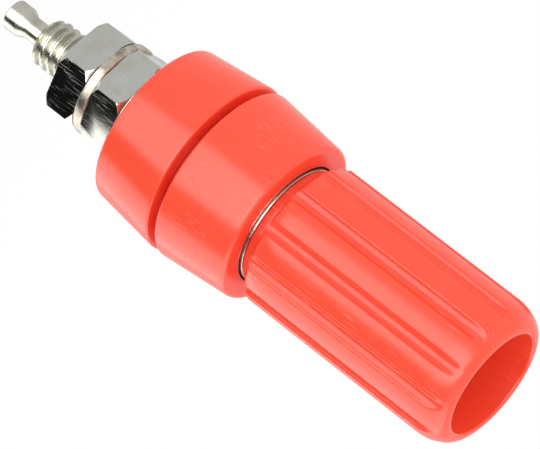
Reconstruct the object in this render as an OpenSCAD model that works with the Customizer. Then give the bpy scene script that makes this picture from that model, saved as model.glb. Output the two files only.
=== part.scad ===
// Panel-mounted binding post for 4 mm plugs and bare wire.
// Z runs along the post, towards the knob's mouth. Z = 0 is the seat of the front
// insulator, where the outer face of the panel lies. All sizes are in millimetres.

/* [Insulators] */
// Diameter of both insulators where they face each other across the panel
insulator_d = 15.25; // [14.5:0.05:18]
// Height of the front insulator above the panel
front_insulator_len = 6.7; // [5.8:0.1:9]
// Diameter at the front end of the front insulator's taper
front_insulator_nose_d = 14; // [13:0.1:14.4]
// Radius of the front insulator's front edge
front_edge_r = 0.45; // [0.2:0.05:0.8]
// Height of the rear insulator
rear_insulator_len = 6.2; // [5:0.1:8]
// Diameter at the rear end of the rear insulator's taper
rear_insulator_tail_d = 13.85; // [12.6:0.05:14.6]
// Radius of the small edges of both insulators
small_edge_r = 0.25; // [0.1:0.05:0.4]
// Slot left between the insulators when no panel is fitted
panel_slot = 0.72; // [0.4:0.02:1.2]
// Diameter of the spigot that centres the post in the panel hole
spigot_d = 12; // [10:0.1:12.8]
// Length of that spigot
spigot_len = 2; // [1.7:0.1:3]
// Diameter of the boss that the inner washer bears on
boss_d = 9.2; // [8.6:0.1:11]
// Height of that boss behind the rear insulator
boss_len = 0.45; // [0.2:0.05:1]

/* [Terminal stud] */
// Diameter of the rear thread over its crests
rear_thread_d = 4.14; // [3.8:0.02:4.3]
// Length of thread that shows behind the outer nut
rear_thread_tail = 4; // [3:0.1:6]
// Length of the chamfer where the rear thread starts
thread_chamfer = 0.4; // [0.2:0.05:0.6]
// Diameter of the solder turret's neck
turret_neck_d = 1.9; // [1.6:0.05:2.1]
// Length of the solder turret's neck
turret_neck_len = 1.7; // [1:0.1:3]
// Diameter of the solder turret's head
turret_head_d = 2.6; // [2.3:0.05:2.8]
// Length of the solder turret's head without its taper
turret_head_len = 1.25; // [0.8:0.05:2]
// Length of the taper between neck and head
turret_taper_len = 0.7; // [0.3:0.05:1]
// Chamfer at the rear edge of the solder turret's head
turret_edge = 0.15; // [0.05:0.05:0.3]
// Diameter of the shank that is keyed into the front insulator
shank_d = 7; // [6.5:0.1:7.6]
// Distance across the two flats of that shank
shank_flats = 5.4; // [5:0.1:6]
// Length of that shank
shank_len = 4; // [3:0.1:4.4]
// Diameter of the flange that the wire is clamped against
flange_d = 10.3; // [9.4:0.1:11]
// Thickness of that flange
flange_len = 1.2; // [0.8:0.05:1.5]
// How far the flange stands above the front insulator
flange_proud = 0.2; // [0.1:0.05:0.4]
// Diameter of the front thread over its crests
barrel_d = 6.3; // [6:0.05:6.5]
// Length of the front barrel above the flange
barrel_len = 15.4; // [14:0.1:17]
// Diameter of the socket for the plug
socket_d = 4; // [3.95:0.05:4.1]
// Depth of that socket without its drill point
socket_len = 11.7; // [10.5:0.1:11.8]
// Diameter of the cross hole for the wire
wire_hole_d = 2; // [1.5:0.1:2]
// Distance from the flange to the near edge of the cross hole
wire_hole_lift = 0.3; // [0.2:0.05:0.4]

/* [Nuts and washers] */
// Width of the hexagon nuts across their flats
nut_af = 7.9; // [7.4:0.05:8.2]
// Thickness of each nut
nut_len = 2.8; // [2.2:0.05:3.2]
// Height of the chamfer at the nuts' corners
nut_chamfer = 0.45; // [0.2:0.05:0.6]
// Diameter of the nuts' flat end faces
nut_face_d = 8.45; // [8:0.05:8.5]
// Direction of one corner of the inner nut, in degrees
inner_nut_phase = 38; // [0:1:59]
// Direction of one corner of the outer nut, in degrees
outer_nut_phase = 32; // [0:1:59]
// Outer diameter of the washers
washer_d = 8.4; // [7.5:0.1:9.5]
// Thickness of each washer
washer_len = 0.85; // [0.5:0.05:1.1]

/* [Knob] */
// Diameter of the knob over its ridges
knob_d = 12.5; // [12:0.1:14]
// Length of the fluted part of the knob
knob_body_len = 19.75; // [18:0.05:23]
// Diameter of the plain neck under the fluted part
knob_neck_d = 10.3; // [10:0.1:11]
// Length of that neck
knob_neck_len = 1; // [0.6:0.05:2]
// Chamfer at the rear edge of the fluted part
knob_chamfer = 0.3; // [0.1:0.05:0.4]
// Length of the rounded front end
nose_len = 2.5; // [1.5:0.1:3]
// How far the rounded front end draws in
nose_drop = 1.45; // [1:0.05:1.5]
// Number of flutes
flute_count = 12; // [8:1:14]
// Depth of each flute
flute_depth = 0.45; // [0.3:0.05:0.6]
// Radius of each flute's round bottom
flute_r = 0.65; // [0.5:0.05:0.9]
// Direction of one flute, in degrees
flute_phase = 8.7; // [0:0.1:30]
// Diameter of the mouth that the plug enters
mouth_d = 9.1; // [8.4:0.1:9.3]
// Outer diameter of the threaded insert
insert_d = 8.6; // [8:0.1:9]
// Length of the threaded insert
insert_len = 10; // [7:0.5:12]
// Width of the retaining groove round the insert
insert_groove_len = 1.2; // [0.6:0.1:2]
// Depth of the retaining groove round the insert
insert_groove_depth = 0.35; // [0.2:0.05:0.5]

/* [Clearances] */
// Radial clearance of a thread's crests, and of what slides or turns on a stud
running_clearance = 0.05; // [0.02:0.01:0.1]
// Radial clearance of parts that only drop over or into each other
loose_clearance = 0.15; // [0.1:0.01:0.2]
// Axial clearance between end faces that a thread draws together
seat_clearance = 0.02; // [0.01:0.01:0.05]
// Radial clearance between the knob's bore and the front barrel
knob_clearance = 0.3; // [0.2:0.05:0.4]

/* [Hidden] */
$fn = 96;
// Steps in a rounded edge, and in the knob's rounded front end
edge_steps = 4;
nose_steps = 9;
// Overshoot of a cut past the face that it opens
cut = 1;
// Angle between a twist drill's point and the drill's end plane
drill_point_angle = 31;
// Share of a nut's corner radius that its flat end faces reach at most
face_limit = 0.98;

// Levels along Z, from the panel seat rearwards
rear_insulator_front_z = -panel_slot;
rear_insulator_rear_z = rear_insulator_front_z - rear_insulator_len;
boss_rear_z = rear_insulator_rear_z - boss_len;
inner_washer_z = boss_rear_z - washer_len;
inner_nut_z = inner_washer_z - seat_clearance - nut_len;
outer_washer_z = inner_nut_z - seat_clearance - washer_len;
outer_nut_z = outer_washer_z - seat_clearance - nut_len;
thread_end_z = outer_nut_z - rear_thread_tail;
neck_end_z = thread_end_z - turret_neck_len;
head_start_z = neck_end_z - turret_taper_len;
stud_rear_z = head_start_z - turret_head_len;

// Levels along Z, from the panel seat forwards
flange_front_z = front_insulator_len + flange_proud;
flange_rear_z = flange_front_z - flange_len;
shank_rear_z = flange_rear_z - shank_len;
barrel_front_z = flange_front_z + barrel_len;
socket_floor_z = barrel_front_z - socket_len;
wire_hole_z = flange_front_z + wire_hole_lift + wire_hole_d / 2;
insert_rear_z = flange_front_z + seat_clearance;
knob_rear_z = insert_rear_z + seat_clearance;
knob_body_z = knob_rear_z + knob_neck_len;
knob_front_z = knob_body_z + knob_body_len;
mouth_floor_z = barrel_front_z + loose_clearance;
insert_bore_d = insert_d + 2 * running_clearance;

RED = [0.95, 0.24, 0.13];
NICKEL = [0.78, 0.77, 0.74];
BRASS = [0.80, 0.66, 0.36];

// Points on an arc, which is an ellipse where its two radii differ.
function arc(centre, radii, from, to, steps) =
    [for (i = [0:steps]) let (a = from + (to - from) * i / steps)
        [centre[0] + radii[0] * cos(a), centre[1] + radii[1] * sin(a)]];

// A round bar with two flats, used for the keyed shank and for its pocket.
module double_flat_bar(d, flats, len) {
    intersection() {
        cylinder(d = d, h = len);
        translate([-d, -flats / 2, 0]) cube([2 * d, flats, len]);
    }
}

// A straight hole along Z between two levels.
module hole(d, from, to) {
    translate([0, 0, from]) cylinder(d = d, h = to - from);
}

// One turned piece: solder turret, rear thread, keyed shank, flange and front barrel.
module terminal_stud() {
    r_thread = rear_thread_d / 2;
    r_neck = turret_neck_d / 2;
    r_head = turret_head_d / 2;
    r_barrel = barrel_d / 2;
    color(NICKEL) difference() {
        union() {
            rotate_extrude() polygon([
                [0, stud_rear_z],
                [r_head - turret_edge, stud_rear_z],
                [r_head, stud_rear_z + turret_edge],
                [r_head, head_start_z],
                [r_neck, neck_end_z],
                [r_neck, thread_end_z],
                [r_thread - thread_chamfer, thread_end_z],
                [r_thread, thread_end_z + thread_chamfer],
                [r_thread, shank_rear_z],
                [0, shank_rear_z]]);
            translate([0, 0, shank_rear_z]) double_flat_bar(shank_d, shank_flats, shank_len);
            hole(flange_d, flange_rear_z, flange_front_z);
            rotate_extrude() polygon([
                [0, flange_front_z],
                [r_barrel, flange_front_z],
                [r_barrel, barrel_front_z - thread_chamfer],
                [r_barrel - thread_chamfer, barrel_front_z],
                [0, barrel_front_z]]);
        }
        hole(socket_d, socket_floor_z, barrel_front_z + cut);
        translate([0, 0, socket_floor_z]) mirror([0, 0, 1])
            cylinder(d1 = socket_d, d2 = 0, h = tan(drill_point_angle) * socket_d / 2);
        translate([0, 0, wire_hole_z]) rotate([0, 90, 0])
            cylinder(d = wire_hole_d, h = barrel_d + 2 * cut, center = true);
    }
}

// Tapered moulding in front of the panel, with the spigot that fills the panel hole.
module front_insulator() {
    r_seat = insulator_d / 2;
    r_nose = front_insulator_nose_d / 2;
    r_spigot = spigot_d / 2;
    color(RED) difference() {
        rotate_extrude() polygon(concat(
            [[0, -spigot_len],
             [r_spigot - small_edge_r, -spigot_len],
             [r_spigot, small_edge_r - spigot_len],
             [r_spigot, 0]],
            arc([r_seat - small_edge_r, small_edge_r], [small_edge_r, small_edge_r], -90, 0, edge_steps),
            arc([r_nose - front_edge_r, front_insulator_len - front_edge_r],
                [front_edge_r, front_edge_r], 0, 90, edge_steps),
            [[0, front_insulator_len]]));
        hole(rear_thread_d + 2 * running_clearance, -spigot_len - cut, shank_rear_z + cut);
        translate([0, 0, shank_rear_z]) double_flat_bar(shank_d + 2 * running_clearance,
            shank_flats + 2 * running_clearance, shank_len + cut);
        hole(flange_d + 2 * loose_clearance, flange_rear_z, front_insulator_len + cut);
    }
}

// Tapered moulding behind the panel, recessed to take the end of the spigot, with a low
// boss for the inner washer.
module rear_insulator() {
    r_seat = insulator_d / 2;
    r_tail = rear_insulator_tail_d / 2;
    recess_floor_z = -spigot_len - seat_clearance;
    color(RED) difference() {
        rotate_extrude() polygon(concat(
            [[0, boss_rear_z], [boss_d / 2, boss_rear_z], [boss_d / 2, rear_insulator_rear_z]],
            arc([r_tail - small_edge_r, rear_insulator_rear_z + small_edge_r],
                [small_edge_r, small_edge_r], -90, 0, edge_steps),
            arc([r_seat - small_edge_r, rear_insulator_front_z - small_edge_r],
                [small_edge_r, small_edge_r], 0, 90, edge_steps),
            [[0, rear_insulator_front_z]]));
        hole(spigot_d + 2 * loose_clearance, recess_floor_z, rear_insulator_front_z + cut);
        hole(rear_thread_d + 4 * running_clearance, boss_rear_z - cut, recess_floor_z + cut);
    }
}

// Flat washer whose rear face lies at the level z.
module washer(z) {
    color(NICKEL) difference() {
        hole(washer_d, z, z + washer_len);
        hole(rear_thread_d + 2 * loose_clearance, z - cut, z + washer_len + cut);
    }
}

// Hexagon nut, chamfered at both ends, whose rear face lies at the level z.
module nut(z, phase) {
    r_corner = nut_af / 2 / cos(30);
    r_face = min(nut_face_d / 2, face_limit * r_corner);
    color(NICKEL) translate([0, 0, z]) difference() {
        intersection() {
            rotate([0, 0, phase]) cylinder(r = r_corner, h = nut_len, $fn = 6);
            rotate_extrude() polygon([
                [0, 0],
                [r_face, 0],
                [r_corner, nut_chamfer],
                [r_corner, nut_len - nut_chamfer],
                [r_face, nut_len],
                [0, nut_len]]);
        }
        hole(rear_thread_d + 2 * running_clearance, -cut, nut_len + cut);
    }
}

module inner_washer() {
    washer(inner_washer_z);
}

module inner_nut() {
    nut(inner_nut_z, inner_nut_phase);
}

module outer_washer() {
    washer(outer_washer_z);
}

module outer_nut() {
    nut(outer_nut_z, outer_nut_phase);
}

// Threaded bush inside the knob, whose rear face clamps the wire against the flange.
module knob_insert() {
    r_insert = insert_d / 2;
    groove_z = insert_rear_z + (insert_len - insert_groove_len) / 2;
    color(BRASS) difference() {
        hole(insert_d, insert_rear_z, insert_rear_z + insert_len);
        hole(barrel_d + 2 * running_clearance, insert_rear_z - cut, insert_rear_z + insert_len + cut);
        rotate_extrude() translate([r_insert - insert_groove_depth, groove_z])
            square([insert_groove_depth + cut, insert_groove_len]);
    }
}

// Fluted moulding: plain neck, ridged grip and a rounded front end with the wide mouth.
module knob_shell() {
    r_knob = knob_d / 2;
    r_neck = knob_neck_d / 2;
    color(RED) difference() {
        rotate_extrude() polygon(concat(
            [[0, knob_rear_z],
             [r_neck, knob_rear_z],
             [r_neck, knob_body_z],
             [r_knob - knob_chamfer, knob_body_z],
             [r_knob, knob_body_z + knob_chamfer]],
            arc([r_knob - nose_drop, knob_front_z - nose_len], [nose_drop, nose_len], 0, 90, nose_steps),
            [[0, knob_front_z]]));
        for (i = [0:flute_count - 1])
            rotate([0, 0, flute_phase + i * 360 / flute_count])
                translate([r_knob - flute_depth + flute_r, 0, 0])
                    hole(2 * flute_r, knob_body_z - cut, knob_front_z + cut);
        hole(mouth_d, mouth_floor_z, knob_front_z + cut);
        hole(barrel_d + 2 * knob_clearance, insert_rear_z + insert_len, mouth_floor_z + cut);
        hole(insert_bore_d, knob_rear_z - cut, insert_rear_z + insert_len);
    }
}

terminal_stud();
front_insulator();
rear_insulator();
inner_washer();
inner_nut();
outer_washer();
outer_nut();
knob_insert();
knob_shell();
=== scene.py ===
# Binding post for 4 mm plugs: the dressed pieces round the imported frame.
# Pieces are modelled in millimetres at their place, then brought to metres at the origin.
import math

import bmesh
import bpy
from mathutils import Matrix, Vector


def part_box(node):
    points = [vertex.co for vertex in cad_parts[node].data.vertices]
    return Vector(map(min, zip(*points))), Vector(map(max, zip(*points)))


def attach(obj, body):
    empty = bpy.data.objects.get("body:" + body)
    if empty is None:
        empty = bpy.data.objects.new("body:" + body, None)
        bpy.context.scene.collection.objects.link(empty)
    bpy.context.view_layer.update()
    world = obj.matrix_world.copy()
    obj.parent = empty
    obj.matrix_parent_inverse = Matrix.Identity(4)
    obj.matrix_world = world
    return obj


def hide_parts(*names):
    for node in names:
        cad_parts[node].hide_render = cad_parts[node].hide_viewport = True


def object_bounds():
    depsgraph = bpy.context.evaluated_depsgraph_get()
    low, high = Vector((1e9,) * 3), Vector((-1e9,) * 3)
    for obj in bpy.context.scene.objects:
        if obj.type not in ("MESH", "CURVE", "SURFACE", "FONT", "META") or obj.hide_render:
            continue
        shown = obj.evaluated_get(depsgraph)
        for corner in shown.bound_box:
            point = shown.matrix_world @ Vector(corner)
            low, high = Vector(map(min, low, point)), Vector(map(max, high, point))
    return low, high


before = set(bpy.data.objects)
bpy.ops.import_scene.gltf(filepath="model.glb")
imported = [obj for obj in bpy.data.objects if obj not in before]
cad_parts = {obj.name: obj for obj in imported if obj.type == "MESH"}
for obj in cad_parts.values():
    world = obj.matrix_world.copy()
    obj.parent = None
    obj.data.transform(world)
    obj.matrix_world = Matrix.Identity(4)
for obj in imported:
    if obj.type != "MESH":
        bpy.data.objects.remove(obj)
cadLow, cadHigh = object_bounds()
mm = 0.001
fullTurn = 2 * math.pi
mergeDistance = 1e-4
placeTolerance = 1e-3
levelTolerance = 0.01
print("frame loaded:", len(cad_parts), "nodes")


# Lowest and highest level of a CAD node along the post, in millimetres.
def levels(nodeName):
    low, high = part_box(nodeName)
    return low[2] / mm, high[2] / mm


def deselectAll():
    if bpy.context.mode != "OBJECT":
        bpy.ops.object.mode_set(mode="OBJECT")
    bpy.ops.object.select_all(action="DESELECT")


# Selects the vertices of the open mesh that lie at one of these places.
def selectPlaces(piece, places):
    bpy.ops.mesh.select_all(action="DESELECT")
    mesh = bmesh.from_edit_mesh(piece.data)
    for vertex in mesh.verts:
        vertex.select = any((vertex.co - Vector(place)).length < placeTolerance
                            for place in places)
    mesh.select_flush_mode()
    bmesh.update_edit_mesh(piece.data)


# A turned piece. Each point of the section is (radius, level), and may go on with the
# rounding of that corner and the number of cuts in the line that leads to it.
def turnPiece(name, section, steps=120):
    points = [(*point, *(0, 0)[len(point) - 2:]) for point in section]
    deselectAll()
    bpy.ops.mesh.primitive_plane_add(size=1, location=(0, 0, 0))
    piece = bpy.context.object
    piece.name = name
    bpy.ops.object.mode_set(mode="EDIT")
    bpy.ops.mesh.select_all(action="SELECT")
    bpy.ops.mesh.merge(type="CENTER")
    bpy.ops.transform.translate(value=(points[0][0], 0, points[0][1]))
    for (r0, z0, _, _), (r1, z1, _, cuts) in zip(points, points[1:]):
        stride = ((r1 - r0) / (cuts + 1), 0, (z1 - z0) / (cuts + 1))
        for _ in range(cuts + 1):
            bpy.ops.mesh.extrude_vertices_move(TRANSFORM_OT_translate={"value": stride})
    bpy.ops.mesh.select_all(action="SELECT")
    bpy.ops.mesh.remove_doubles(threshold=mergeDistance)
    for rounding in sorted({point[2] for point in points if point[2]}):
        places = [(point[0], 0, point[1]) for point in points if point[2] == rounding]
        selectPlaces(piece, places)
        bpy.ops.mesh.bevel(offset=rounding, segments=5, affect="VERTICES", offset_type="OFFSET")
    bpy.ops.mesh.select_all(action="SELECT")
    bpy.ops.mesh.spin(steps=steps, angle=fullTurn, center=(0, 0, 0), axis=(0, 0, 1))
    bpy.ops.mesh.select_all(action="SELECT")
    bpy.ops.mesh.remove_doubles(threshold=mergeDistance)
    bpy.ops.mesh.normals_make_consistent(inside=False)
    bpy.ops.object.mode_set(mode="OBJECT")
    return piece


# Moves each vertex in or out to the radius that shape(radius, angle, level) gives.
def reshape(piece, shape):
    for vertex in piece.data.vertices:
        radius = math.hypot(vertex.co.x, vertex.co.y)
        if radius > mergeDistance:
            share = shape(radius, math.atan2(vertex.co.y, vertex.co.x), vertex.co.z) / radius
            vertex.co.x *= share
            vertex.co.y *= share


flankSlope = 1.25
rootShare = 0.1


# Radius of a right-hand thread with a rounded crest and root.
def threadRadius(thread, angle, z):
    turn = (z / thread["pitch"] - angle / fullTurn) % 1
    height = min(1, max(0, flankSlope * abs(2 * turn - 1) - rootShare))
    return thread["crestRadius"] - thread["depth"] * (1 - height * height * (3 - 2 * height))


# Smaller of two radii, with the corner between them rounded over that blend.
def softLower(a, b, blend):
    overlap = max(blend - abs(a - b), 0) / blend
    return min(a, b) - overlap * overlap * blend / 4


def cutWith(piece, tool, operation="DIFFERENCE"):
    deselectAll()
    bpy.context.view_layer.objects.active = piece
    cut = piece.modifiers.new("cut", "BOOLEAN")
    cut.operation = operation
    cut.object = tool
    cut.solver = "EXACT"
    bpy.ops.object.modifier_apply(modifier="cut")
    bpy.data.objects.remove(tool)


# Brings a piece from millimetres to metres, shades it and hands it to its CAD body.
def finishPiece(piece, nodeName, body, material, sharpAngle=30):
    deselectAll()
    piece.select_set(True)
    bpy.context.view_layer.objects.active = piece
    piece.scale = (mm, mm, mm)
    bpy.ops.object.transform_apply(location=True, rotation=True, scale=True)
    bpy.ops.object.shade_smooth_by_angle(angle=math.radians(sharpAngle))
    piece.data.materials.clear()
    piece.data.materials.append(material)
    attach(piece, body)
    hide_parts(nodeName)
    print("made", piece.name, len(piece.data.polygons), "faces")


# Linear colour from an sRGB hex value.
def colour(hexText):
    parts = [int(hexText[i:i + 2], 16) / 255 for i in (1, 3, 5)]
    linear = [c / 12.92 if c <= 0.04045 else ((c + 0.055) / 1.055) ** 2.4 for c in parts]
    return (*linear, 1)


def addNode(tree, kind, values=None, links=None, **settings):
    node = tree.nodes.new(kind)
    for key, value in settings.items():
        setattr(node, key, value)
    for socket, value in (values or {}).items():
        node.inputs[socket].default_value = value
    for socket, source in (links or {}).items():
        tree.links.new(source, node.inputs[socket])
    return node


def startMaterial(name):
    material = bpy.data.materials.new(name)
    material.use_nodes = True
    tree = material.node_tree
    tree.nodes.clear()
    return material, tree


# Texture scale for fine lines of this width and length, in millimetres.
def drawnOut(width, length):
    return 1 / (width * mm), 1 / (width * mm), 1 / (length * mm)


# Injection-moulded ABS: a tool-polished skin, glossy, with handling scuffs.
mouldedRed = {
    "body": "#FF4C30",
    "bodyPale": "#FF553A",
    "scuffTint": "#FF9484",
    "roughness": 0.24,
    "scuffRoughness": 0.42,
    "cloudSize": 3.0,
    "peelSize": 0.35,
    "scuffLength": 2.4,
    "scuffWidth": 0.09,
    "scuffSlant": (35, 20, 10),
    "scuffFrom": 0.62, "scuffTo": 0.72,
    "patchSize": 4, "patchFrom": 0.5, "patchTo": 0.62,
    "scuffShare": 0.45,
    "peelHeight": 0.06, "bumpStrength": 0.25, "bumpDepth": 0.012,
    "ior": 1.53,
}


def makeMouldedRed():
    spec = mouldedRed
    material, tree = startMaterial("glossy moulded red ABS")
    place = addNode(tree, "ShaderNodeTexCoord").outputs["Object"]
    cloud = addNode(tree, "ShaderNodeTexNoise",
                    {"Scale": 1 / (spec["cloudSize"] * mm), "Detail": 3}, {"Vector": place})
    skin = addNode(tree, "ShaderNodeMix",
                   {"A": colour(spec["body"]), "B": colour(spec["bodyPale"])},
                   {"Factor": cloud.outputs["Fac"]}, data_type="RGBA")
    peel = addNode(tree, "ShaderNodeTexNoise",
                   {"Scale": 1 / (spec["peelSize"] * mm), "Detail": 2}, {"Vector": place})
    # Scuffs: long thin dashes that run aslant across the surface.
    slant = addNode(tree, "ShaderNodeMapping", {
        "Rotation": tuple(math.radians(turn) for turn in spec["scuffSlant"]),
        "Scale": drawnOut(spec["scuffWidth"], spec["scuffLength"]),
    }, {"Vector": place})
    dashes = addNode(tree, "ShaderNodeTexNoise", {"Scale": 1, "Detail": 1},
                     {"Vector": slant.outputs[0]})
    patches = addNode(tree, "ShaderNodeTexNoise",
                      {"Scale": 1 / (spec["patchSize"] * mm), "Detail": 1}, {"Vector": place})
    thin = addNode(tree, "ShaderNodeMapRange",
                   {"From Min": spec["scuffFrom"], "From Max": spec["scuffTo"]},
                   {"Value": dashes.outputs["Fac"]})
    where = addNode(tree, "ShaderNodeMapRange",
                    {"From Min": spec["patchFrom"], "From Max": spec["patchTo"]},
                    {"Value": patches.outputs["Fac"]})
    scuff = addNode(tree, "ShaderNodeMath", None,
                    {0: thin.outputs[0], 1: where.outputs[0]}, operation="MULTIPLY")
    faded = addNode(tree, "ShaderNodeMath", {1: spec["scuffShare"]}, {0: scuff.outputs[0]},
                    operation="MULTIPLY")
    tint = addNode(tree, "ShaderNodeMix", {"B": colour(spec["scuffTint"])},
                   {"A": skin.outputs["Result"], "Factor": faded.outputs[0]}, data_type="RGBA")
    gloss = addNode(tree, "ShaderNodeMapRange", {
        "To Min": spec["roughness"], "To Max": spec["scuffRoughness"]}, {"Value": scuff.outputs[0]})
    relief = addNode(tree, "ShaderNodeMath", {1: spec["peelHeight"]},
                     {0: peel.outputs["Fac"], 2: scuff.outputs[0]}, operation="MULTIPLY_ADD")
    bump = addNode(tree, "ShaderNodeBump",
                   {"Strength": spec["bumpStrength"], "Distance": spec["bumpDepth"] * mm},
                   {"Height": relief.outputs[0]})
    shader = addNode(tree, "ShaderNodeBsdfPrincipled", {"IOR": spec["ior"]},
                     {"Base Color": tint.outputs["Result"], "Roughness": gloss.outputs[0],
                      "Normal": bump.outputs[0]})
    addNode(tree, "ShaderNodeOutputMaterial", None, {"Surface": shader.outputs[0]})
    return material


# Nickel plate. Bright on the nuts, and thinner and warmer over the brass of
# the post, with fine draw marks along the bar it was turned from.
brightNickel = {
    "name": "bright nickel plate",
    "plate": "#C4C5C0", "tarnish": "#BCB8AC",
    "roughness": 0.13, "scratchRoughness": 0.42,
    "scratchLength": 2.2, "scratchWidth": 0.07, "scratchFrom": 0.6, "cloudSize": 1.6,
}
warmNickel = {
    "name": "nickel plate over brass",
    "plate": "#C8C7BB", "tarnish": "#ABA893",
    "roughness": 0.27, "scratchRoughness": 0.4,
    "scratchLength": 0.9, "scratchWidth": 0.06, "scratchFrom": 0.58, "cloudSize": 1.2,
}
# The punched washers keep a thinner plate, mottled and duller than the nuts'.
washerNickel = {
    "name": "thin nickel plate on punched brass",
    "plate": "#CABFB2", "tarnish": "#85735F",
    "roughness": 0.3, "scratchRoughness": 0.45,
    "scratchLength": 0.5, "scratchWidth": 0.08, "scratchFrom": 0.56, "cloudSize": 0.6,
}
turnedBrass = {
    "name": "turned brass",
    "plate": "#C9A357", "tarnish": "#A8843F",
    "roughness": 0.26, "scratchRoughness": 0.4,
    "scratchLength": 0.8, "scratchWidth": 0.06, "scratchFrom": 0.58, "cloudSize": 1.5,
}


plateFinish = {
    "patchFrom": 0.45, "patchTo": 0.75, "scratchBlend": 0.08,
    "bumpStrength": 0.35, "bumpDepth": 0.008,
}


def makePlate(spec):
    material, tree = startMaterial(spec["name"])
    place = addNode(tree, "ShaderNodeTexCoord").outputs["Object"]
    cloud = addNode(tree, "ShaderNodeTexNoise",
                    {"Scale": 1 / (spec["cloudSize"] * mm), "Detail": 4}, {"Vector": place})
    patch = addNode(tree, "ShaderNodeMapRange",
                    {"From Min": plateFinish["patchFrom"], "From Max": plateFinish["patchTo"]},
                    {"Value": cloud.outputs["Fac"]})
    tint = addNode(tree, "ShaderNodeMix",
                   {"A": colour(spec["plate"]), "B": colour(spec["tarnish"])},
                   {"Factor": patch.outputs[0]}, data_type="RGBA")
    along = addNode(tree, "ShaderNodeMapping",
                    {"Scale": drawnOut(spec["scratchWidth"], spec["scratchLength"])},
                    {"Vector": place})
    lines = addNode(tree, "ShaderNodeTexNoise", {"Scale": 1, "Detail": 2},
                    {"Vector": along.outputs[0]})
    scratch = addNode(tree, "ShaderNodeMapRange", {
        "From Min": spec["scratchFrom"],
        "From Max": spec["scratchFrom"] + plateFinish["scratchBlend"],
    }, {"Value": lines.outputs["Fac"]})
    gloss = addNode(tree, "ShaderNodeMapRange", {
        "To Min": spec["roughness"], "To Max": spec["scratchRoughness"],
    }, {"Value": scratch.outputs[0]})
    bump = addNode(tree, "ShaderNodeBump", {
        "Strength": plateFinish["bumpStrength"], "Distance": plateFinish["bumpDepth"] * mm,
    }, {"Height": lines.outputs["Fac"]})
    shader = addNode(tree, "ShaderNodeBsdfPrincipled", {"Metallic": 1},
                     {"Base Color": tint.outputs["Result"], "Roughness": gloss.outputs[0],
                      "Normal": bump.outputs[0]})
    addNode(tree, "ShaderNodeOutputMaterial", None, {"Surface": shader.outputs[0]})
    return material


redPlastic = makeMouldedRed()
nutNickel = makePlate(brightNickel)
studNickel = makePlate(warmNickel)
washerPlate = makePlate(washerNickel)
insertBrass = makePlate(turnedBrass)
print("materials made")

rearThread = {"crestRadius": 2.07, "depth": 0.44, "pitch": 0.79375}
frontThread = {"crestRadius": 3.15, "depth": 0.5, "pitch": 0.907}

# Front insulator: tapered moulding with the spigot for the panel hole, a recess for the
# flange and a flat-sided pocket for the keyed shank.
frontInsulator = {
    "seatRadius": 7.625, "seatEdge": 0.25,
    "noseRadius": 7.0, "noseEdge": 0.45,
    "spigotRadius": 6.0, "boreRadius": 2.12,
    "recessRadius": 5.3, "recessDepth": 1.0, "recessEdge": 0.08,
    "pocketRadius": 3.55, "pocketFlat": 2.75, "pocketFloor": 1.7,
}


def makeFrontInsulator():
    spec = frontInsulator
    low, high = levels("front_insulator")
    recessFloor = high - spec["recessDepth"]
    piece = turnPiece("front_insulator_moulding", [
        (spec["boreRadius"], low),
        (spec["spigotRadius"], low, 0.2),
        (spec["spigotRadius"], 0),
        (spec["seatRadius"], 0, spec["seatEdge"]),
        (spec["noseRadius"], high, spec["noseEdge"]),
        (spec["recessRadius"], high, spec["recessEdge"]),
        (spec["recessRadius"], recessFloor),
        (spec["pocketRadius"], recessFloor),
        (spec["pocketRadius"], spec["pocketFloor"]),
        (spec["boreRadius"], spec["pocketFloor"]),
        (spec["boreRadius"], low)], 180)
    for vertex in piece.data.vertices:  # the pocket's two flats
        inPocket = math.hypot(vertex.co.x, vertex.co.y) < spec["pocketRadius"] + levelTolerance
        if inPocket and vertex.co.z > spec["pocketFloor"] - levelTolerance:
            vertex.co.y = max(-spec["pocketFlat"], min(spec["pocketFlat"], vertex.co.y))
    finishPiece(piece, "front_insulator", "post", redPlastic)


# Rear insulator: the opposite taper, recessed for the spigot, with a boss for the washer.
rearInsulator = {
    "seatRadius": 7.625, "tailRadius": 6.925, "edge": 0.25,
    "bossRadius": 4.6, "bossHeight": 0.45,
    "recessRadius": 6.15, "recessDepth": 1.3, "boreRadius": 2.17,
}


def makeRearInsulator():
    spec = rearInsulator
    low, high = levels("rear_insulator")
    rim = low + spec["bossHeight"]
    recessFloor = high - spec["recessDepth"]
    piece = turnPiece("rear_insulator_moulding", [
        (spec["boreRadius"], low),
        (spec["bossRadius"], low, 0.1),
        (spec["bossRadius"], rim),
        (spec["tailRadius"], rim, spec["edge"]),
        (spec["seatRadius"], high, spec["edge"]),
        (spec["recessRadius"], high, 0.1),
        (spec["recessRadius"], recessFloor),
        (spec["boreRadius"], recessFloor),
        (spec["boreRadius"], low)], 180)
    finishPiece(piece, "rear_insulator", "rear_clamp", redPlastic)


# Knob: plain neck, twelve flutes that run out in the rounded front end, and the mouth.
knob = {
    "bodyRadius": 6.25, "rearChamfer": 0.3,
    "neckRadius": 5.15, "neckLength": 1.0, "neckMargin": 0.2,
    "noseLength": 2.5, "noseDrop": 1.45, "noseRows": 30,
    "mouthRadius": 4.55, "mouthEdge": 0.18, "mouthDepth": 5.24,
    "boreRadius": 3.45, "insertBoreRadius": 4.35,
    "flutes": 12, "fluteRadius": 0.65, "fluteDepth": 0.45, "flutePhase": 8.7,
    "fluteEdge": 0.26,
    "columns": 600, "sharpAngle": 50,
}


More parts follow.
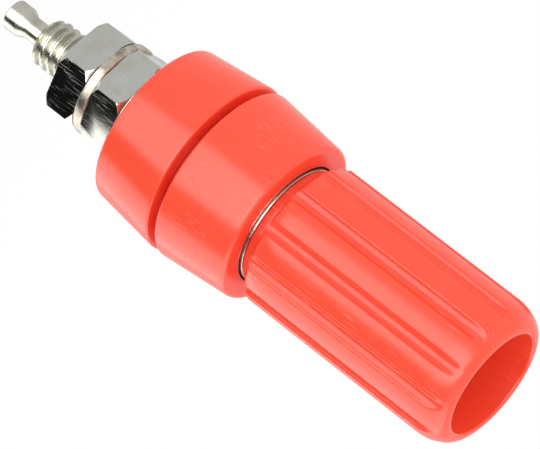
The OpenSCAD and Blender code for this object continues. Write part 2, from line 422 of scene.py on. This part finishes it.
def makeKnob():
    spec = knob
    low, high = levels("knob_shell")
    insertTop = levels("knob_insert")[1]
    bodyRear = low + spec["neckLength"]
    noseRear = high - spec["noseLength"]
    noseCentre = spec["bodyRadius"] - spec["noseDrop"]
    rows = spec["noseRows"]
    turns = [k / rows * math.pi / 2 for k in range(rows + 1)]
    nose = [(noseCentre + spec["noseDrop"] * math.sin(turn),
             noseRear + spec["noseLength"] * math.cos(turn)) for turn in turns]
    piece = turnPiece("knob_moulding", [
        (spec["insertBoreRadius"], low),
        (spec["insertBoreRadius"], insertTop),
        (spec["boreRadius"], insertTop),
        (spec["boreRadius"], high - spec["mouthDepth"], 0.15),
        (spec["mouthRadius"], high - spec["mouthDepth"]),
        (spec["mouthRadius"], high, spec["mouthEdge"]),
        *nose,
        (spec["bodyRadius"], bodyRear + spec["rearChamfer"], 0, 10),
        (spec["bodyRadius"] - spec["rearChamfer"], bodyRear, 0, 3),
        (spec["neckRadius"], bodyRear),
        (spec["neckRadius"], low, 0.1),
        (spec["insertBoreRadius"], low)], spec["columns"])
    centre = spec["bodyRadius"] - spec["fluteDepth"] + spec["fluteRadius"]
    pitch = fullTurn / spec["flutes"]

    def fluted(radius, angle, z):
        if radius < spec["neckRadius"] + spec["neckMargin"] or z < bodyRear - levelTolerance:
            return radius
        away = (angle - math.radians(spec["flutePhase"]) + pitch / 2) % pitch - pitch / 2
        side = centre * math.sin(away)
        if abs(side) >= spec["fluteRadius"]:
            return radius
        bottom = centre * math.cos(away) - math.sqrt(spec["fluteRadius"] ** 2 - side ** 2)
        return softLower(radius, bottom, spec["fluteEdge"])

    reshape(piece, fluted)
    finishPiece(piece, "knob_shell", "knob", redPlastic,
                spec["sharpAngle"])


# Brass insert that is pressed into the knob, with its thread and retaining groove.
insert = {
    "outerRadius": 4.3, "boreRadius": 3.2, "grooveDepth": 0.35, "grooveLength": 1.2,
    "threadDepth": 0.35, "leadIn": 0.3, "rows": 200,
}


def makeInsert():
    spec = insert
    low, high = levels("knob_insert")
    middle = (low + high) / 2
    grooveRadius = spec["outerRadius"] - spec["grooveDepth"]
    piece = turnPiece("threaded_insert", [
        (spec["boreRadius"] + spec["leadIn"], low),
        (spec["outerRadius"], low, 0.12),
        (spec["outerRadius"], middle - spec["grooveLength"] / 2),
        (grooveRadius, middle - spec["grooveLength"] / 2),
        (grooveRadius, middle + spec["grooveLength"] / 2),
        (spec["outerRadius"], middle + spec["grooveLength"] / 2),
        (spec["outerRadius"], high, 0.12),
        (spec["boreRadius"] + spec["leadIn"], high),
        (spec["boreRadius"], high - spec["leadIn"]),
        (spec["boreRadius"], low + spec["leadIn"], 0, spec["rows"]),
        (spec["boreRadius"] + spec["leadIn"], low)], 96)
    thread = dict(frontThread, crestRadius=spec["boreRadius"] + spec["threadDepth"],
                  depth=spec["threadDepth"])

    def tapped(radius, angle, z):
        inside = radius < spec["boreRadius"] + levelTolerance
        return threadRadius(thread, angle, z) if inside else radius

    reshape(piece, tapped)
    finishPiece(piece, "knob_insert", "knob_insert", insertBrass)


# The post itself, turned in one piece: solder turret, rear thread, keyed shank, flange
# and the front barrel with its socket and cross hole.
stud = {
    "headRadius": 1.3, "headLength": 1.25, "headEdge": 0.15,
    "taperLength": 0.7, "neckRadius": 0.95, "neckLength": 1.7,
    "threadChamfer": 0.4, "threadTop": -1.0,
    "shankRadius": 3.5, "shankFlat": 2.7, "shankRear": 1.7,
    "flangeRadius": 5.15, "flangeRear": 5.7, "flangeFront": 6.9,
    "socketRadius": 2.0, "socketDepth": 11.7, "drillAngle": 31,
    "wireHoleRadius": 1.0, "wireHoleLevel": 8.2,
    "reliefDepth": 0.45, "reliefLength": 0.25, "runIn": 0.6, "socketEdge": 0.25,
    "sharpAngle": 24,
}


def makeStud():
    spec = stud
    low, high = levels("terminal_stud")
    headTop = low + spec["headLength"]
    neckRear = headTop + spec["taperLength"]
    threadRear = neckRear + spec["neckLength"]
    rearCrest, frontCrest = rearThread["crestRadius"], frontThread["crestRadius"]
    chamfer = spec["threadChamfer"]
    socketFloor = high - spec["socketDepth"]
    drillPoint = socketFloor - math.tan(math.radians(spec["drillAngle"])) * spec["socketRadius"]
    piece = turnPiece("turned_post", [
        (0, low),
        (spec["headRadius"], low, spec["headEdge"]),
        (spec["headRadius"], headTop, 0.02),
        (spec["neckRadius"], neckRear, 0.05),
        (spec["neckRadius"], threadRear),
        (rearCrest - chamfer, threadRear),
        (rearCrest, threadRear + chamfer, 0, 8),
        (rearCrest, spec["threadTop"], 0, 330),
        (rearCrest, spec["shankRear"]),
        (spec["shankRadius"], spec["shankRear"]),
        (spec["shankRadius"], spec["flangeRear"]),
        (spec["flangeRadius"], spec["flangeRear"]),
        (spec["flangeRadius"], spec["flangeFront"], 0.08),
        (frontCrest - spec["reliefDepth"], spec["flangeFront"]),
        (frontCrest - spec["reliefDepth"], spec["flangeFront"] + spec["reliefLength"]),
        (frontCrest, spec["flangeFront"] + spec["runIn"], 0, 6),
        (frontCrest, high - chamfer, 0, 230),
        (frontCrest - chamfer, high, 0, 6),
        (spec["socketRadius"] + spec["socketEdge"], high),
        (spec["socketRadius"], high - spec["socketEdge"]),
        (spec["socketRadius"], socketFloor),
        (0, drillPoint)], 96)

    def threaded(radius, angle, z):
        behind = threadRear - levelTolerance < z < spec["threadTop"]
        if behind and radius > rearCrest - chamfer - levelTolerance:
            return min(radius, threadRadius(rearThread, angle, z))
        if z > spec["flangeFront"] + 0.1 and radius > frontCrest - 0.5:
            return min(radius, threadRadius(frontThread, angle, z))
        return radius

    reshape(piece, threaded)
    for vertex in piece.data.vertices:  # the shank's two flats
        radius = math.hypot(vertex.co.x, vertex.co.y)
        inShank = (spec["shankRear"] - levelTolerance < vertex.co.z
                   < spec["flangeRear"] + levelTolerance)
        if inShank and radius < spec["shankRadius"] + levelTolerance:
            vertex.co.y = max(-spec["shankFlat"], min(spec["shankFlat"], vertex.co.y))
    deselectAll()
    bpy.ops.mesh.primitive_cylinder_add(
        vertices=48, radius=spec["wireHoleRadius"], depth=9,
        location=(0, 0, spec["wireHoleLevel"]), rotation=(0, math.pi / 2, 0))
    cutWith(piece, bpy.context.object)
    finishPiece(piece, "terminal_stud", "post", studNickel, spec["sharpAngle"])


# Hexagon nuts: bar stock, chamfered at both ends and tapped.
nut = {
    "acrossFlats": 7.9, "cornerEdge": 0.2, "faceRadius": 4.225, "chamfer": 0.45,
    "faceEdge": 0.05, "tapDepth": 0.3, "tapMinorRadius": 2.12, "countersink": 0.3,
    "phases": {"inner_nut": 38, "outer_nut": 32}, "cornerOffset": 30,
    "softenFrom": 25, "sharpAngle": 22, "toolMargin": 0.5,
}


def makeNut(nodeName):
    spec = nut
    low, high = levels(nodeName)
    cornerRadius = spec["acrossFlats"] / 2 / math.cos(math.pi / 6)
    deselectAll()
    bpy.ops.mesh.primitive_cylinder_add(
        vertices=6, radius=cornerRadius, depth=high - low, location=(0, 0, (low + high) / 2),
        rotation=(0, 0, math.radians(spec["phases"][nodeName] - spec["cornerOffset"])))
    piece = bpy.context.object
    piece.name = nodeName + "_hexagon"
    bpy.ops.object.transform_apply(location=True, rotation=True, scale=True)
    bpy.ops.object.mode_set(mode="EDIT")
    bpy.ops.mesh.select_all(action="DESELECT")
    mesh = bmesh.from_edit_mesh(piece.data)
    for edge in mesh.edges:
        edge.select = abs(edge.verts[0].co.z - edge.verts[1].co.z) > 1
    mesh.select_flush_mode()
    bmesh.update_edit_mesh(piece.data)
    bpy.ops.mesh.bevel(offset=spec["cornerEdge"], segments=4, affect="EDGES")
    bpy.ops.object.mode_set(mode="OBJECT")
    blank = turnPiece("chamferTool", [
        (0, low),
        (spec["faceRadius"], low),
        (cornerRadius, low + spec["chamfer"]),
        (cornerRadius + 0.2, (low + high) / 2),
        (cornerRadius, high - spec["chamfer"]),
        (spec["faceRadius"], high),
        (0, high)], 144)
    cutWith(piece, blank, "INTERSECT")
    deselectAll()
    bpy.context.view_layer.objects.active = piece
    soften = piece.modifiers.new("soften", "BEVEL")
    soften.width = spec["faceEdge"]
    soften.segments = 2
    soften.limit_method = "ANGLE"
    soften.angle_limit = math.radians(spec["softenFrom"])
    bpy.ops.object.modifier_apply(modifier="soften")
    minor = spec["tapMinorRadius"]
    mouth = minor + spec["countersink"]
    tap = turnPiece("tapTool", [
        (0, low - spec["toolMargin"]),
        (mouth, low - spec["toolMargin"]),
        (mouth, low),
        (minor, low + spec["countersink"]),
        (minor, high - spec["countersink"], 0, 60),
        (mouth, high),
        (mouth, high + spec["toolMargin"]),
        (0, high + spec["toolMargin"])], 72)
    thread = dict(rearThread, crestRadius=minor + spec["tapDepth"], depth=spec["tapDepth"])

    def tapped(radius, angle, z):
        inside = abs(radius - minor) < levelTolerance and low < z < high
        return threadRadius(thread, angle, z) if inside else radius

    reshape(tap, tapped)
    cutWith(piece, tap)
    finishPiece(piece, nodeName, nodeName, nutNickel,
                spec["sharpAngle"])


# Plain washers, punched, with the rounded edge of the punch side.
washer = {"outerRadius": 4.2, "boreRadius": 2.22, "edge": 0.14, "boreEdge": 0.08}


def makeWasher(nodeName, body):
    spec = washer
    low, high = levels(nodeName)
    piece = turnPiece(nodeName + "_ring", [
        (spec["boreRadius"], low, spec["boreEdge"]),
        (spec["outerRadius"], low, spec["edge"]),
        (spec["outerRadius"], high, spec["edge"]),
        (spec["boreRadius"], high, spec["boreEdge"]),
        (spec["boreRadius"], (low + high) / 2),
        (spec["boreRadius"], low)], 128)
    finishPiece(piece, nodeName, body, washerPlate)


makeFrontInsulator()
makeRearInsulator()
makeKnob()
makeInsert()
makeStud()
makeNut("inner_nut")
makeNut("outer_nut")
makeWasher("inner_washer", "rear_clamp")
makeWasher("outer_washer", "outer_washer")
print("pieces done")

# Camera: looks down on the post from its front end, turned about its line of sight.
cameraFit = {
    "elevation": 22.18, "roll": 37.81, "target": (0.745, 0, 5.628), "distance": 381.7,
    "lens": 334.37, "sensor": 36,
}


def makeCamera():
    spec = cameraFit
    elevation, roll = math.radians(spec["elevation"]), math.radians(spec["roll"])
    towards = Vector((0, -math.cos(elevation), math.sin(elevation)))
    level = Vector((0, math.sin(elevation), math.cos(elevation)))
    up = -math.sin(roll) * level - math.cos(roll) * Vector((1, 0, 0))
    right = (-towards).cross(up)
    data = bpy.data.cameras.new("camera")
    data.lens = spec["lens"]
    data.sensor_width = spec["sensor"]
    data.clip_start, data.clip_end = 0.01, 20
    camera = bpy.data.objects.new("camera", data)
    bpy.context.scene.collection.objects.link(camera)
    place = (Vector(spec["target"]) + towards * spec["distance"]) * mm
    camera.matrix_world = Matrix([
        [right.x, up.x, towards.x, place.x],
        [right.y, up.y, towards.y, place.y],
        [right.z, up.z, towards.z, place.z],
        [0, 0, 0, 1]])
    bpy.context.scene.camera = camera


makeCamera()

# Studio: pale floor and surroundings, and reflector cards that stand round the post.
# Each card spans a range of azimuths and shows only in the gloss of what it faces.
studio = {
    "floorColour": "#F4F4F2", "floorSize": 6.0, "floorShare": 0.94,
    "surroundings": 0.78, "ambient": 1.1,
    "cardRadius": 260, "cardLow": -330, "cardHigh": 330,
    "cards": [
        {"name": "softbox", "from": -106, "to": -49, "strength": 4.0},
        {"name": "blackFlag", "from": -49, "to": -6, "strength": 0.01},
        {"name": "sideBox", "from": -5, "to": 48, "strength": 2.2},
    ],
}


def makeGlow(name, strength):
    material, tree = startMaterial(name)
    glow = addNode(tree, "ShaderNodeEmission", {"Color": (1, 1, 1, 1), "Strength": strength})
    addNode(tree, "ShaderNodeOutputMaterial", None, {"Surface": glow.outputs[0]})
    return material


def makeFloor():
    deselectAll()
    bpy.ops.mesh.primitive_plane_add(size=studio["floorSize"], location=(0, 0, cadLow[2]))
    floor = bpy.context.object
    floor.name = "floor"
    material, tree = startMaterial("matt white paper")
    paper = addNode(tree, "ShaderNodeBsdfDiffuse", {"Color": colour(studio["floorColour"])})
    white = addNode(tree, "ShaderNodeEmission", {"Color": (1, 1, 1, 1), "Strength": 1})
    path = addNode(tree, "ShaderNodeLightPath")
    seen = addNode(tree, "ShaderNodeMath", None,
                   {0: path.outputs["Is Camera Ray"], 1: path.outputs["Is Glossy Ray"]},
                   operation="MAXIMUM")
    seenThrough = addNode(tree, "ShaderNodeMath", None,
                          {0: seen.outputs[0], 1: path.outputs["Is Transmission Ray"]},
                          operation="MAXIMUM")
    share = addNode(tree, "ShaderNodeMath", {1: studio["floorShare"]}, {0: seenThrough.outputs[0]},
                    operation="MULTIPLY")
    mixed = addNode(tree, "ShaderNodeMixShader", None,
                    {0: share.outputs[0], 1: paper.outputs[0], 2: white.outputs[0]})
    addNode(tree, "ShaderNodeOutputMaterial", None, {"Surface": mixed.outputs[0]})
    floor.data.materials.append(material)
    floor.visible_glossy = False  # the cards reach below it, and gloss sees them


def makeCards():
    for card in studio["cards"]:
        deselectAll()
        bpy.ops.mesh.primitive_plane_add(size=1, location=(0, 0, 0))
        piece = bpy.context.object
        piece.name = card["name"]
        start, end = math.radians(card["from"]), math.radians(card["to"])
        radius = studio["cardRadius"]
        bpy.ops.object.mode_set(mode="EDIT")
        bpy.ops.mesh.select_all(action="SELECT")
        bpy.ops.mesh.merge(type="CENTER")
        bpy.ops.transform.translate(value=(radius * math.cos(start), radius * math.sin(start),
                                           studio["cardLow"]))
        bpy.ops.mesh.extrude_vertices_move(TRANSFORM_OT_translate={
            "value": (0, 0, studio["cardHigh"] - studio["cardLow"])})
        bpy.ops.mesh.select_all(action="SELECT")
        bpy.ops.mesh.spin(steps=24, angle=start - end, center=(0, 0, 0), axis=(0, 0, 1))
        bpy.ops.object.mode_set(mode="OBJECT")
        piece.scale = (mm, mm, mm)
        bpy.ops.object.transform_apply(scale=True)
        piece.data.materials.append(makeGlow(card["name"], card["strength"]))
        piece.visible_camera = False
        piece.visible_diffuse = False
        piece.visible_shadow = False
        piece.visible_transmission = False


def makeWorld():
    world = bpy.data.worlds.new("studio")
    bpy.context.scene.world = world
    world.use_nodes = True
    tree = world.node_tree
    tree.nodes.clear()
    path = addNode(tree, "ShaderNodeLightPath")
    ambient = addNode(tree, "ShaderNodeBackground",
                      {"Color": (1, 1, 1, 1), "Strength": studio["ambient"]})
    mirrored = addNode(tree, "ShaderNodeBackground",
                       {"Color": (1, 1, 1, 1), "Strength": studio["surroundings"]})
    white = addNode(tree, "ShaderNodeBackground", {"Color": (1, 1, 1, 1), "Strength": 1})
    inGloss = addNode(tree, "ShaderNodeMixShader", None, {
        0: path.outputs["Is Glossy Ray"], 1: ambient.outputs[0], 2: mirrored.outputs[0]})
    inView = addNode(tree, "ShaderNodeMixShader", None, {
        0: path.outputs["Is Camera Ray"], 1: inGloss.outputs[0], 2: white.outputs[0]})
    addNode(tree, "ShaderNodeOutputWorld", None, {"Surface": inView.outputs[0]})


makeFloor()
makeCards()
makeWorld()
bpy.context.scene.view_settings.view_transform = "Standard"
print("studio done")

deselectAll()
